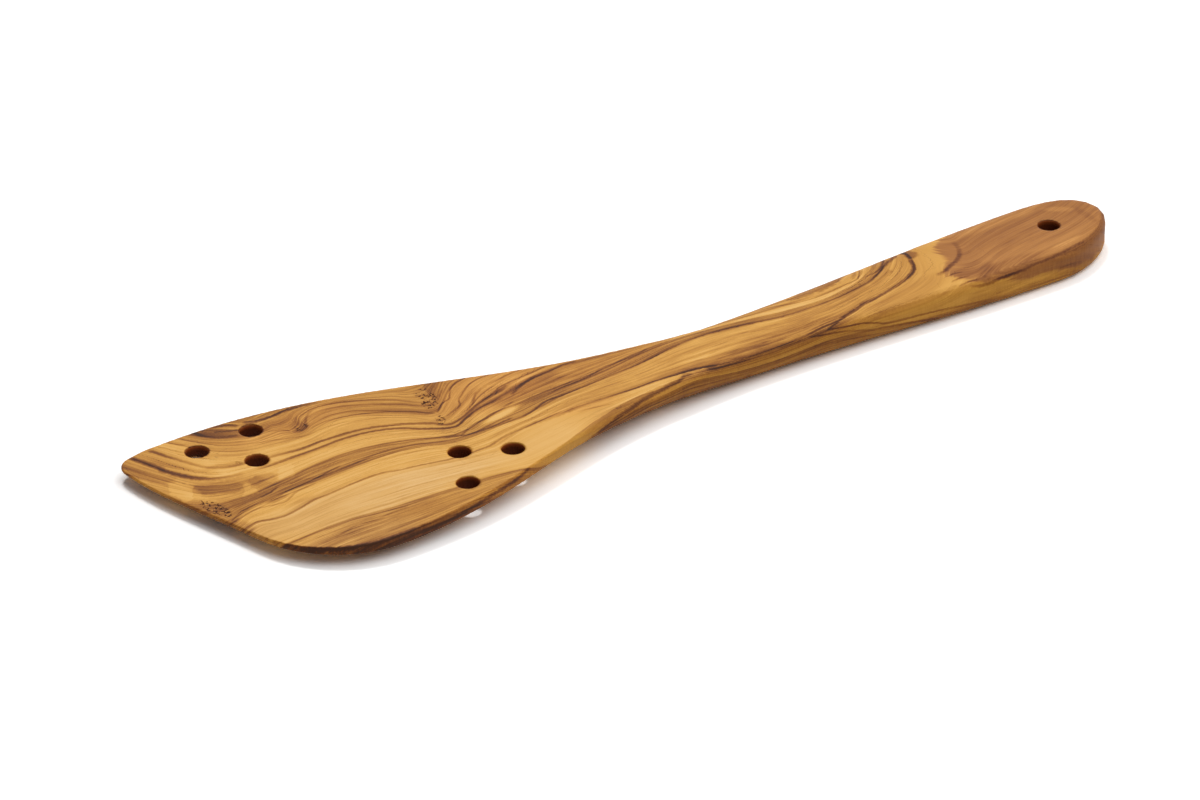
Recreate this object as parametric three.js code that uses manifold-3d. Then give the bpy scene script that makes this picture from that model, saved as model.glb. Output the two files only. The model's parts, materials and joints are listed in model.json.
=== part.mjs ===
// A pan turner carved from one board of olive wood: a slanted blade with drain holes, a waisted neck
// and a flat grip with a hole to hang it by. Millimetres, +Z up, lying on z = 0. +X runs from the blade
// to the end of the grip, and +Y to the long side of the blade, where the pointed corner is.
import * as THREE from "three";
import { mergeVertices } from "three/addons/utils/BufferGeometryUtils.js";
import Module from "manifold-3d";

const { clamp, degToRad, lerp, smoothstep } = THREE.MathUtils;

// Outline. Places along are measured from the tip, and places across from the handle's centre line.
const LENGTH = 305;
const LONG_SIDE = 48.1;
const LONG_SIDE_AT = 10;
const SHORT_SIDE = 31.4;
const SHORT_SIDE_AT = 41;
const NECK_WIDTH = 23;
const NECK_AT = 173;
const GRIP_WIDTH = 30;
const GRIP_TO_END = 26;
const END_OFFSET = 2;

// The slanted front edge, from the pointed corner on the long side to the round one on the short side
const TIP_RADIUS = 5;
const TIP_FROM_LONG_SIDE = 5.7;
const TIP_LEAN = degToRad(8);
const TIP_SLANT = degToRad(3);
const CORNER_RADIUS = 31;
const CORNER_SLANT = degToRad(12.7);

// How long each side keeps its direction, as a share of the stretch that it swings over
const LONG_SIDE_EASE = { fromNeck: 0.5, toBlade: 0.42 };
const SHORT_SIDE_EASE = { fromBlade: 0.39, toNeck: 0.545 };
const HANDLE_EASE = 0.42;
const END_EASE = { longSide: 0.68, shortSide: 0.46 };

// Heights of the top face, thickness of the blade's edge, and heights of the underside behind the tip
// and before the neck
const TIP_TOP = 4.6;
const BLADE_TOP = 6.8;
const SHOULDER_TOP = 9.6;
const NECK_TOP = 10.1;
const GRIP_TOP = 10.5;
const TIP_EDGE = 1;
const BLADE_EDGE = 3.5;
const SHOULDER_EDGE = 3.9;
const TIP_BELLY = 0.5;
const ARCH = 2.2;

// Places of the sections between the blade and the grip
const GRIP_AT = LENGTH - GRIP_TO_END;
const SHOULDER_AT = lerp(SHORT_SIDE_AT, NECK_AT, 0.485);
const WAIST_AT = lerp(SHORT_SIDE_AT, NECK_AT, 0.75);
const HANDLE_AT = lerp(NECK_AT, GRIP_AT, 0.32);

// Sections from the tip to the end of the grip: heights of the top face, of its lower edge and of the
// middle of the underside. The roundings of both edges reach in and take a share of the edge's height.
const SECTIONS = [
  {
    at: 0,
    heights: { top: TIP_TOP, edge: TIP_TOP - TIP_EDGE, keel: TIP_BELLY },
    upper: { reach: 0.5, share: 0.35 },
    lower: { reach: 0.6, share: 0.4 },
  },
  {
    at: SHORT_SIDE_AT,
    heights: { top: BLADE_TOP, edge: BLADE_TOP - BLADE_EDGE, keel: 0 },
    upper: { reach: 0.6, share: 0.13 },
    lower: { reach: 1.2, share: 0.26 },
  },
  {
    at: SHOULDER_AT,
    heights: { top: SHOULDER_TOP, edge: SHOULDER_TOP - SHOULDER_EDGE, keel: ARCH },
    upper: { reach: 0.8, share: 0.15 },
    lower: { reach: 3, share: 0.24 },
  },
  {
    at: WAIST_AT,
    heights: { top: lerp(SHOULDER_TOP, NECK_TOP, 0.4), edge: ARCH, keel: ARCH / 2 },
    upper: { reach: 1.8, share: 0.16 },
    lower: { reach: 9, share: 0.6 },
  },
  {
    at: NECK_AT,
    heights: { top: NECK_TOP, edge: 0, keel: 0 },
    upper: { reach: 6, share: 0.34 },
    lower: { reach: 8, share: 0.5 },
  },
  {
    at: HANDLE_AT,
    heights: { top: lerp(NECK_TOP, GRIP_TOP, 0.75), edge: 0, keel: 0 },
    upper: { reach: 6, share: 0.33 },
    lower: { reach: 6, share: 0.4 },
  },
  {
    at: GRIP_AT,
    heights: { top: GRIP_TOP, edge: 0, keel: 0 },
    upper: { reach: 4, share: 0.27 },
    lower: { reach: 3, share: 0.23 },
  },
  {
    at: LENGTH,
    heights: { top: GRIP_TOP, edge: 0, keel: 0 },
    upper: { reach: 3.2, share: 0.23 },
    lower: { reach: 2.6, share: 0.21 },
  },
];

// A rounding reaches at most this share of the way in to the middle
const MOST_REACH = 0.8;

// Drilled holes. Each group is a triangle whose base runs along the side that it stands nearest to.
const HOLE_DIAMETER = 6.5;
const HANG_HOLE_DIAMETER = 6.5;
const HANG_HOLE_TO_END = 20.4;
const FRONT_GROUP = { along: 29.3, fromSide: 9.9, turn: 0, base: 17.2, height: -14, lead: 1.6 };
const REAR_TURN = degToRad(19);
const REAR_GROUP = { toNeck: 94.8, fromSide: 13.6, turn: REAR_TURN, base: 20.3, height: 11.2, lead: 1.1 };
const DRILL_OVERRUN = 5;

// Fineness of the facets
const OUTLINE_STEP = 4.5;
const OUTLINE_LEAST_STEPS = 8;
const SPINE_STEPS = 36;
const ROUND_STEPS = 5;
const FACE_SHARES = [0.3, 0.6, 1];
const HOLE_SIDES = 24;

const wood = new THREE.MeshStandardMaterial({ color: 0xc48a45, roughness: 0.5, metalness: 0 });

// A step of one length in a direction
function stride(heading, length) {
  return new THREE.Vector2(Math.cos(heading), Math.sin(heading)).multiplyScalar(length);
}

// A stretch of the outline that leaves and arrives parallel to the centre line
function swing(shape, along, across, leaveShare, arriveShare) {
  const { x, y } = shape.currentPoint;
  const span = along - x;
  shape.bezierCurveTo(x + span * leaveShare, y, along - span * arriveShare, across, along, across);
}

// A gently bowed stretch of the outline, from one heading to another
function bow(shape, to, leaveHeading, arriveHeading) {
  const from = shape.currentPoint.clone();
  const third = from.distanceTo(to) / 3;
  const leave = stride(leaveHeading, third).add(from);
  const arrive = stride(arriveHeading, -third).add(to);
  shape.bezierCurveTo(leave.x, leave.y, arrive.x, arrive.y, to.x, to.y);
}

// A round corner, reached by a bowed stretch, that turns counterclockwise from one heading to the next
function roundCorner(shape, centre, radius, leaveHeading, arriveHeading, turnedHeading) {
  const [startAngle, endAngle] = [arriveHeading - Math.PI / 2, turnedHeading - Math.PI / 2];
  bow(shape, stride(startAngle, radius).add(centre), leaveHeading, arriveHeading);
  shape.absarc(centre.x, centre.y, radius, startAngle, endAngle);
}

// The outline, counterclockwise from the end of the grip
function outline() {
  const [grip, neck] = [GRIP_WIDTH / 2, NECK_WIDTH / 2];
  const tip = new THREE.Vector2(TIP_RADIUS, LONG_SIDE - TIP_FROM_LONG_SIDE);
  const corner = new THREE.Vector2(SHORT_SIDE_AT, CORNER_RADIUS - SHORT_SIDE);
  const [toTip, towardsNeck] = [Math.PI, 2 * Math.PI];
  const [tipHeading, cornerHeading] = [1.5 * Math.PI + TIP_SLANT, 1.5 * Math.PI + CORNER_SLANT];
  const { longSide, shortSide } = END_EASE;
  const longEnd = new THREE.Vector2(lerp(GRIP_AT, LENGTH, longSide), lerp(END_OFFSET, grip, longSide));
  const shortEnd = new THREE.Vector2(lerp(GRIP_AT, LENGTH, shortSide), lerp(END_OFFSET, -grip, shortSide));

  const shape = new THREE.Shape();
  shape.moveTo(LENGTH, END_OFFSET);
  shape.bezierCurveTo(LENGTH, longEnd.y, longEnd.x, grip, GRIP_AT, grip);
  swing(shape, NECK_AT, neck, HANDLE_EASE, HANDLE_EASE);
  swing(shape, LONG_SIDE_AT, LONG_SIDE, LONG_SIDE_EASE.fromNeck, LONG_SIDE_EASE.toBlade);
  roundCorner(shape, tip, TIP_RADIUS, toTip, toTip + TIP_LEAN, tipHeading);
  roundCorner(shape, corner, CORNER_RADIUS, tipHeading, cornerHeading, towardsNeck);
  swing(shape, NECK_AT, -neck, SHORT_SIDE_EASE.fromBlade, SHORT_SIDE_EASE.toNeck);
  swing(shape, GRIP_AT, -grip, HANDLE_EASE, HANDLE_EASE);
  shape.bezierCurveTo(shortEnd.x, -grip, LENGTH, shortEnd.y, LENGTH, END_OFFSET);
  return shape;
}

// Points of the outline, closer together on its short, tightly curved stretches
function rimPoints() {
  return outline().curves.flatMap((curve) => {
    const steps = Math.max(OUTLINE_LEAST_STEPS, Math.round(curve.getLength() / OUTLINE_STEP));
    return curve.getSpacedPoints(steps).slice(0, -1);
  });
}

// The point of the spine that a point of the outline looks in to. The spine runs along the middle of the
// blade and of the handle, in steps that both sides share.
function spinePoint(point) {
  const step = (GRIP_AT - SHORT_SIDE_AT) / SPINE_STEPS;
  const along = clamp(point.x, SHORT_SIDE_AT, GRIP_AT) - SHORT_SIDE_AT;
  const x = SHORT_SIDE_AT + Math.round(along / step) * step;
  const bladeMiddle = (LONG_SIDE - SHORT_SIDE) / 2;
  return new THREE.Vector2(x, bladeMiddle * (1 - smoothstep(x, SHORT_SIDE_AT, NECK_AT)));
}

// A smooth curve along the length through one size of the sections, which never swings past their values
function faired(size) {
  const at = SECTIONS.map((section) => section.at);
  const value = SECTIONS.map(size);
  const rise = value.slice(1).map((next, i) => (next - value[i]) / (at[i + 1] - at[i]));
  const slope = value.map((_, i) => {
    const [before, after] = [rise[Math.max(i - 1, 0)], rise[Math.min(i, rise.length - 1)]];
    return before * after > 0 ? 2 * before * after / (before + after) : 0;
  });
  return (along) => {
    const x = clamp(along, at[0], at.at(-1));
    const i = Math.min(at.findLastIndex((place) => place <= x), rise.length - 1);
    const span = at[i + 1] - at[i];
    const t = (x - at[i]) / span;
    const bend = t * (1 - t) * ((1 - t) * slope[i] - t * slope[i + 1]);
    return lerp(value[i], value[i + 1], t * t * (3 - 2 * t)) + span * bend;
  };
}

// Rings of points, from the spine on the top face out over the rim and back to the spine below
function bodyRings() {
  const top = faired(({ heights }) => heights.top);
  const edge = faired(({ heights }) => heights.edge);
  const keel = faired(({ heights }) => heights.keel);
  const rim = rimPoints();
  const spine = rim.map(spinePoint);
  const quarter = Math.PI / 2;

  const ring = (height, reach, drop, turn, share) => rim.map((point, i) => {
    const distance = point.distanceTo(spine[i]);
    const rounded = Math.min(reach(point.x), MOST_REACH * distance) * (1 - Math.cos(turn));
    const inwards = lerp(rounded, distance, share) / distance;
    const { x, y } = point.clone().lerp(spine[i], inwards);
    return new THREE.Vector3(x, y, height(x, inwards) + drop(point.x) * (1 - Math.sin(turn)));
  });
  const face = (height, side, direction) => {
    const reach = faired((section) => section[side].reach);
    const roundedShare = faired((section) => section[side].share);
    const drop = (along) => direction * roundedShare(along) * (top(along) - edge(along));
    const turns = Array.from({ length: ROUND_STEPS + 1 }, (_, i) => quarter * i / ROUND_STEPS);
    return [
      ...turns.map((turn) => ring(height, reach, drop, turn, 0)),
      ...FACE_SHARES.map((share) => ring(height, reach, drop, quarter, share)),
    ];
  };
  const crowned = (along, inwards) => lerp(edge(along), keel(along), 1 - (1 - inwards) ** 3);
  return [...face(top, "upper", -1).reverse(), ...face(crowned, "lower", 1)];
}

// A skin over rings that all have as many points. It closes where the first and the last ring fold flat.
function skin(rings) {
  const count = rings[0].length;
  const index = [];
  for (let row = 0; row + 1 < rings.length; row += 1) {
    for (let i = 0; i < count; i += 1) {
      const [a, b] = [row * count + i, row * count + (i + 1) % count];
      index.push(a, a + count, b + count, a, b + count, b);
    }
  }
  const geometry = new THREE.BufferGeometry().setFromPoints(rings.flat());
  geometry.setIndex(index);
  return geometry;
}

// Middles of a group of three holes: the two ends of the triangle's base, and its point
function groupMiddles(group, along, across) {
  const corners = [[-group.base / 2, 0], [group.base / 2, 0], [group.lead, group.height]];
  const middle = new THREE.Vector2(along, across);
  return corners.map(([x, y]) => new THREE.Vector2(along + x, across + y).rotateAround(middle, group.turn));
}

// A drill that stands upright and passes right through the board
function drill(middle, diameter) {
  const thickest = Math.max(...SECTIONS.map(({ heights }) => heights.top));
  const length = thickest + 2 * DRILL_OVERRUN;
  const geometry = new THREE.CylinderGeometry(diameter / 2, diameter / 2, length, HOLE_SIDES);
  geometry.rotateX(Math.PI / 2);
  geometry.translate(middle.x, middle.y, thickest / 2);
  return geometry;
}

const wasm = await Module();
wasm.setup();

// A closed geometry as a solid, without the triangles that have folded flat
function toSolid(geometry) {
  geometry.deleteAttribute("normal");
  geometry.deleteAttribute("uv");
  const { attributes, index } = mergeVertices(geometry);
  const kept = [];
  for (let i = 0; i < index.count; i += 3) {
    const corners = [index.getX(i), index.getX(i + 1), index.getX(i + 2)];
    if (new Set(corners).size === 3) kept.push(...corners);
  }
  const vertProperties = Float32Array.from(attributes.position.array);
  const triVerts = Uint32Array.from(kept);
  return new wasm.Manifold(new wasm.Mesh({ numProp: 3, vertProperties, triVerts }));
}

function toGeometry(solid) {
  const { vertProperties, triVerts } = solid.getMesh();
  const geometry = new THREE.BufferGeometry();
  geometry.setAttribute("position", new THREE.BufferAttribute(vertProperties, 3));
  geometry.setIndex(new THREE.BufferAttribute(triVerts, 1));
  return geometry;
}

// The whole tool, with its origin below the middle of its box
function spatula() {
  const drains = [
    ...groupMiddles(FRONT_GROUP, FRONT_GROUP.along, LONG_SIDE - FRONT_GROUP.fromSide),
    ...groupMiddles(REAR_GROUP, NECK_AT - REAR_GROUP.toNeck, REAR_GROUP.fromSide - SHORT_SIDE),
  ].map((middle) => drill(middle, HOLE_DIAMETER));
  const hangHole = drill(new THREE.Vector2(LENGTH - HANG_HOLE_TO_END, 0), HANG_HOLE_DIAMETER);

  const board = toSolid(skin(bodyRings()));
  const drilled = [...drains, hangHole].reduce((solid, hole) => solid.subtract(toSolid(hole)), board);
  const geometry = toGeometry(drilled);
  geometry.computeBoundingBox();
  const { min, max } = geometry.boundingBox;
  geometry.translate(-(min.x + max.x) / 2, -(min.y + max.y) / 2, -min.z);
  geometry.computeVertexNormals();
  const mesh = new THREE.Mesh(geometry, wood);
  mesh.name = "spatula";
  return mesh;
}

const turner = new THREE.Group();
turner.add(spatula());

export default turner;
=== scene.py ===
import json
import math

import bmesh
import bpy
import numpy as np
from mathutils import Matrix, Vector


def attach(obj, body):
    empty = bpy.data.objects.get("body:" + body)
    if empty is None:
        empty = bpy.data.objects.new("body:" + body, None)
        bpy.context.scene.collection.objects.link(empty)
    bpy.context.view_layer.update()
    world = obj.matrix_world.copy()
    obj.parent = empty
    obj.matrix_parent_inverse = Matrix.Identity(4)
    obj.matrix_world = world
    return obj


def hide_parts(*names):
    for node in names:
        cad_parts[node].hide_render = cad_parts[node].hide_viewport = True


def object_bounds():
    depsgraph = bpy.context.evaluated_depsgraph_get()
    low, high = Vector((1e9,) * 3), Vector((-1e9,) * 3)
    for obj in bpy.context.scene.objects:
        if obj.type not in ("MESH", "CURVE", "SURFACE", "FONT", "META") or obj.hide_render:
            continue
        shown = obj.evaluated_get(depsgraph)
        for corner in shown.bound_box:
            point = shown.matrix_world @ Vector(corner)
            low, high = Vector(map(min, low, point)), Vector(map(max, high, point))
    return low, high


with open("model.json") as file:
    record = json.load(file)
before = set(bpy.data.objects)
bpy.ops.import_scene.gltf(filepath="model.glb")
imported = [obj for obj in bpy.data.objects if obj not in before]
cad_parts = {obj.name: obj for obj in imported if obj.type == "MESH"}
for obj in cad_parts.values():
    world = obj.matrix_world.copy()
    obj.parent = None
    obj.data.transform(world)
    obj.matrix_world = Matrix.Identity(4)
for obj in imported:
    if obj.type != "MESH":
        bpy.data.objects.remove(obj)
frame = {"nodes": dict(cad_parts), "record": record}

CAD_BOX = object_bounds()
MM = 0.001

# Places on the wood are in millimetres: along from the tip, and across from the handle's centre line.
TIP_X = CAD_BOX[0][0] / MM
LENGTH = CAD_BOX[1][0] / MM - TIP_X
OPENINGS = {opening["name"]: np.mean(opening["box_m"], axis=0) / MM
            for opening in frame["record"]["physics"]["openings"]}
CENTRE_LINE_Y = OPENINGS["hang_hole"][1]
HOLE_RADIUS = 3.25

# Lines of the grain from the far side of the blade to the near side. Each has its place across
# the middle of the blade, the points that it runs through, and how dark it is along its length.
GRAIN_LINES = [
    (0.0,
     [(24, 53), (31, 47), (36, 43), (41, 41.4), (50, 41.6), (58, 40.3), (70, 37), (84, 35), (100, 35),
      (130, 26), (160, 17), (190, 14.5), (215, 17), (222, 20), (230, 32), (246, 51), (305, 56)],
     [(20, 0.4), (30, 0.3), (36, 0.0), (56, 0.0), (62, 0.4), (75, 0.3)]),
    (7.8,
     [(17, 53), (22, 45), (26, 39.5), (31, 35.3), (37, 33), (43, 33), (46, 31.5), (49, 32.5), (52, 35.8),
      (57, 37.3), (63, 36), (70, 32.3), (77, 27), (82.5, 21), (85.5, 20.2), (89, 23.2), (94, 27.5),
      (105, 30), (130, 19), (160, 13), (190, 11), (213, 13), (221, 17), (230, 28), (246, 47), (305, 52)],
     [(17, 0.3), (24, 0.2), (34, 0.3), (42, 0.3), (48, 0.3), (56, 0.2), (66, 0.5), (80, 0.5), (84, 0.0)]),
    (14.3,
     [(13, 53), (17, 46.5), (20, 42), (23.5, 36.5), (27.5, 32.5), (32, 30), (37, 28.7), (43, 27.3),
      (48, 27), (53, 28.3), (58, 29), (63, 27.8), (70, 22.8), (76, 17.5), (80, 14), (82.5, 13.8),
      (86, 16.3), (90, 20), (94, 22.8), (100, 24.5), (110, 25), (130, 17.5), (160, 12), (190, 10),
      (209, 10), (221, 14), (230, 24), (246, 43), (305, 48)],
     [(13, 0.3), (20, 0.6), (28, 0.7), (40, 0.5), (48, 0.4), (54, 0.1), (80, 0.1), (83, 0.0), (110, 0.0),
      (116, 0.6)]),
    (20.1,
     [(9, 53), (12, 47), (14.5, 39), (17, 33.5), (20, 29.3), (24, 26.3), (28, 24.6), (34, 23.2),
      (41, 21.9), (48, 21.1), (55, 21), (62, 19.6), (68, 16.6), (74, 12.3), (79, 8.3), (82, 7.2),
      (86, 8.4), (91, 10.7), (96, 14), (102, 16.5), (112, 18.8), (122, 18.5), (140, 14.5), (165, 11),
      (190, 8.8), (204, 8.6), (213, 10), (222, 13.5), (232, 22), (246, 39), (305, 44)],
     [(9, 0.0), (28, 0.0), (34, 0.3), (92, 0.3), (108, 0.3), (120, 0.7), (195, 0.5), (204, 0.1)]),
    (22.7,
     [(3.5, 53), (5.2, 47.5), (7, 42), (8.7, 36), (10.7, 31), (13.2, 27.4), (16.5, 24.2), (20, 22.1),
      (25, 20.7), (33, 19.5), (42, 18.7), (52, 18.4), (58, 17.8), (64, 15.6), (70, 12.2), (76, 8),
      (80, 5.2), (82.5, 4.7), (86, 6), (91, 8.3), (97, 9.6), (104, 11.2), (112, 13.2), (121, 14.3),
      (132, 13.4), (148, 10.8), (160, 9.6), (175, 8), (187, 6.3), (197, 5), (206, 4.2), (214, 5.2),
      (220, 7.4), (226, 11), (234, 19), (246, 35), (305, 40)],
     [(3, 0.0), (24, 0.0), (30, 0.3), (90, 0.3), (100, 0.6), (110, 1.0), (130, 0.8), (150, 0.5),
      (175, 0.6), (190, 0.5), (200, 0.1)]),
    (28.8,
     [(0, 24), (6, 15.5), (12, 11.3), (20, 10.4), (30, 11.1), (40, 12.3), (47, 12.5), (55, 11.6),
      (62, 9.4), (70, 5.8), (76, 2.3), (80, 1), (84, 1.1), (89, 2.6), (94, 4), (100, 4.3), (110, 4.8),
      (122, 5.3), (134, 6.5), (146, 8.3), (154, 8.6), (163, 8), (174, 6.7), (183, 4.7), (192, 3),
      (200, 2.4), (207, 2.4), (214, 3.3), (220, 5), (225, 7.4), (230, 11), (236, 17.5), (246, 31),
      (305, 36)],
     [(6, 0.3), (20, 0.6), (28, 0.9), (34, 0.4), (62, 0.5), (74, 0.8), (90, 0.8), (100, 0.4), (120, 0.7),
      (160, 0.5), (180, 0.6), (196, 0.3), (206, 0.1)]),
    (36.7,
     [(0, 3), (6, 1.6), (10, 2.2), (14, 4.2), (20, 5.3), (28, 5.7), (38, 5.2), (50, 4.8), (60, 3.8),
      (66, 2.6), (70, 1.2), (75, -1.2), (80, -2.5), (86, -3), (93, -2.7), (100, -2.4), (106, -1.1),
      (113, 0.3), (122, 1.1), (132, 1.7), (140, 2.2), (148, 3.6), (156, 5), (163, 5.3), (171, 4.7),
      (179, 3.1), (186, 1.5), (194, 0.4), (202, 0), (209, 0.3), (216, 1.6), (222, 3.2), (227, 5.2),
      (231, 8), (235, 12), (240, 19), (246, 27), (305, 32)],
     [(8, 0.2), (20, 0.2), (30, 0.6), (60, 0.7), (74, 0.8), (84, 0.6), (90, 0.1), (128, 0.1), (135, 0.5),
      (160, 0.5), (180, 0.7), (192, 0.6), (200, 0.1)]),
    (43.5,
     [(0, -4), (9, -3.3), (14, -2.2), (18, -3.6), (22, -4.3), (27, -3.5), (35, -2.5), (43, -2.1),
      (50, -2.3), (56, -3.3), (62, -5), (68, -7), (74, -8.8), (80, -10.2), (84, -10.6), (88, -9.8),
      (93, -8.5), (101, -7.5), (110, -6.6), (116, -6.3), (122, -7.2), (130, -7.9), (142, -8.1),
      (149, -8.8), (154, -9.4), (158, -10.2), (168, -11.2), (180, -11.6), (189, -11.4), (196, -10.6),
      (203, -9.9), (207, -9), (211, -7.6), (217, -6.1), (225, -4.6), (230, -3), (234, -1), (237, 1.3),
      (239, 4.5), (240.5, 8), (242, 12), (246, 22), (305, 26)],
     [(9, 0.3), (80, 0.3), (100, 0.4), (112, 0.3), (140, 0.3), (150, 1.3), (157, 0.8), (162, 0.2),
      (186, 0.2), (190, 0.0)]),
    (59.8,
     [(0, -16.5), (16, -16), (25, -15.8), (33, -16.3), (40, -17.5), (48, -19), (56, -20), (66, -21.5),
      (72, -22.3), (80, -24), (90, -26), (105, -23.5), (112, -20), (117, -17.9), (123.3, -15.9),
      (133.5, -13.7), (141, -13.2), (147, -13), (158, -14), (168, -15), (180, -15.5), (189, -15.3),
      (195, -15.2), (201, -15.6), (206, -16.4), (220, -18.5), (240, -20.5), (260, -21.5), (305, -22)],
     [(14, 0.5), (30, 0.6), (45, 0.8), (55, 0.9), (70, 0.6), (80, 0.8), (85, 0.6), (87, 0.0)]),
    (71.3,
     [(0, -33), (40, -33), (60, -32.5), (80, -31.5), (100, -29), (120, -24), (140, -20), (160, -19.5),
      (200, -21), (230, -24), (305, -27)], [(0, 0.5), (300, 0.5)]),
]

# Tone of the wood between those lines, from dark at 0 to pale at 1, and how it changes along the board
BANDS = [
    (0.62, [(30, -0.1), (40, 0.0), (56, 0.05)]),
    (0.66,
     [(22, 0.0), (26, -0.15), (31, -0.1), (36, 0.0), (48, -0.05), (60, 0.02), (75, 0.05), (92, -0.05)]),
    (0.72,
     [(17, 0.1), (34, 0.08), (42, 0.02), (48, -0.1), (56, -0.08), (64, -0.12), (82, -0.1), (100, -0.08)]),
    (0.84, [(12, 0.03), (40, 0.02), (60, 0.0), (70, -0.06), (80, -0.12), (88, -0.16), (110, -0.12)]),
    (0.86,
     [(6, -0.25), (12, -0.3), (16, -0.1), (20, 0.1), (28, 0.05), (40, 0.0), (78, 0.0), (90, -0.18),
      (110, -0.2), (125, -0.2), (150, -0.12), (190, -0.1), (206, 0.0)]),
    (0.88,
     [(0, -0.28), (4, -0.24), (8, -0.1), (14, -0.12), (26, -0.15), (31, 0.0), (45, 0.02), (60, -0.05),
      (72, -0.08), (80, -0.12), (90, -0.05), (98, -0.18), (105, -0.26), (120, -0.27), (132, -0.2),
      (150, -0.16), (165, -0.05), (185, 0.0), (220, -0.02), (230, -0.1)]),
    (0.6,
     [(8, 0.05), (14, -0.02), (24, -0.06), (34, 0.0), (66, 0.05), (76, -0.02), (86, -0.05), (94, 0.0),
      (103, -0.03), (112, -0.1), (125, -0.05), (160, 0.0), (175, -0.05), (230, 0.0)]),
    (0.86,
     [(8, -0.02), (60, 0.02), (90, 0.0), (145, -0.03), (165, -0.06), (185, -0.1), (200, -0.15),
      (215, -0.2), (238, -0.2)]),
    (0.9,
     [(8, -0.1), (20, -0.08), (40, -0.03), (60, 0.02), (80, 0.04), (105, 0.03), (118, -0.1), (128, -0.02),
      (140, 0.0), (149, -0.12), (158, -0.25), (185, -0.28), (196, -0.22), (206, -0.15), (220, -0.1),
      (300, -0.1)]),
    (0.62,
     [(14, 0.12), (22, 0.1), (35, 0.02), (55, 0.02), (72, 0.03), (80, 0.0), (90, 0.03), (105, 0.1),
      (117, -0.1), (130, -0.05), (150, 0.05), (200, 0.1), (240, 0.15)]),
    (0.62, [(0, 0.0), (150, 0.0), (200, 0.05), (300, 0.1)]),
]

# Patches of lighter or darker wood: along, across, half length, half width, turn in degrees, change
PATCHES = [
    (22, 27.2, 6, 1.6, -22, -0.2),
    (9, -2, 3.5, 5, 0, -0.25),
    (198, -10.5, 9, 2.2, 5, -0.16),
    (112, 17, 16, 4, -5, 0.1),
    (195, 2, 16, 3, 0, 0.1),
    (36, -26.5, 16, 3.5, 0, 0.08),
    (136, -5.8, 20, 3, -2, -0.1),
    (43, 9.4, 14, 3, 0, 0.06),
    (24.5, 4, 3.5, 1.2, 0, -0.2),
    (49, 31.5, 2.6, 2.2, 0, -0.1),
    (162, -10.3, 14, 2.2, 0, -0.14),
    (250, -9.5, 8, 4.5, 0, -0.12),
    (262, -12, 12, 3, 0, -0.1),
    (50, 33, 3.6, 1.0, 75, -0.1),
    (95.5, 2.0, 7, 1.5, 10, 0.4),
    (178, -7.8, 30, 2.2, 0, -0.16),
    (175, -11.5, 28, 1.8, -2, -0.12),
    (148.7, -10, 1.8, 0.9, 0, -0.35),
    (157, -10.2, 1.8, 0.9, -20, -0.35),
    (275, 11, 26, 3.0, 2, 0.12),
    (297.3, -0.8, 5.5, 1.4, 88, -0.06),
    (228, -9, 16, 4.5, 12, -0.09),
    (282, -11, 6, 1.0, 8, 0.14),
    (293, 6, 5, 1.6, -35, 0.1),
]

# Plain wood with less texture: along, across, half length, half width, turn in degrees, amount
CALM = [
    (243, 0, 9, 16, 0, 0.9),
    (231, -9, 15, 5, 12, 0.9),
    (248, 6, 7, 8, 0, 0.7),
    (100, -15, 24, 7, 12, 0.8),
    (30, -10, 24, 7, 0, 0.4),
]

# Blocks of lighter and darker wood with clear edges: change of tone, and corners in clockwise order
BLOCKS = [
    (-0.08, [(9.5, 27.5), (15, 24), (21, 20.8), (27.5, 19.5), (27.5, 11), (14, 11), (9.5, 17)]),
    (-0.1, [(0, 44), (3, 49), (5.5, 48), (7, 42), (8.4, 36), (9.4, 30), (5, 29.8), (2, 34), (0, 40)]),
    (0.13, [(5.2, 29.6), (9.0, 28.6), (10.3, 24.3), (7.3, 18.7), (4.7, 18.7), (3.8, 24.8)]),
    (0.12, [(22.5, 17.4), (22.6, 9.8), (18.1, 10.9)]),
    (0.07, [(33.5, 17.7), (37.2, 16.8), (34.7, 11.3), (30.2, 11.7)]),
    (-0.12,
     [(11.3, 25.1), (15.5, 22.7), (20.6, 19.0), (22.1, 17.2), (18.3, 12.8), (12.7, 16.4), (9.9, 18.7)]),
    (-0.12, [(26.4, 18.1), (31.4, 16.1), (28.8, 10.7), (23.4, 11.8), (23.2, 16.4)]),
    (-0.24,
     [(86.0, 24.8), (88.9, 29.2), (93.9, 26.6), (90.6, 23.5), (86.8, 20.2), (85.3, 19.7), (85.2, 21.5)]),
    (-0.3,
     [(195.5, 7.6), (205.1, 10.8), (212.6, 11.4), (220, 10.9), (214.3, 7.4), (206.5, 6.3), (200, 6.2)]),
    (-0.34,
     [(239.5, 10.3), (240.5, 12.2), (242.5, 12.2), (243.4, 8.7), (242.3, 7.0), (240.3, 6.4),
      (239.5, 8.4)]),
]

# Redder or, with a minus sign, paler and greyer wood, partly drier wood and partly a painted sheen:
# along, across, half length, half width, turn in degrees, amount
TINTS = [
    (100, 16, 20, 12, 10, 0.45),
    (130, 9, 26, 8, 0, 0.25),
    (42, -11, 40, 9, -6, -0.7),
    (26, -27, 24, 9, -4, -0.5),
    (100, -15, 30, 7, 8, -0.2),
    (50, 34, 20, 6, 0, 0.3),
    (116, -8.4, 13, 2.6, -8, 0.35),
]

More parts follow.
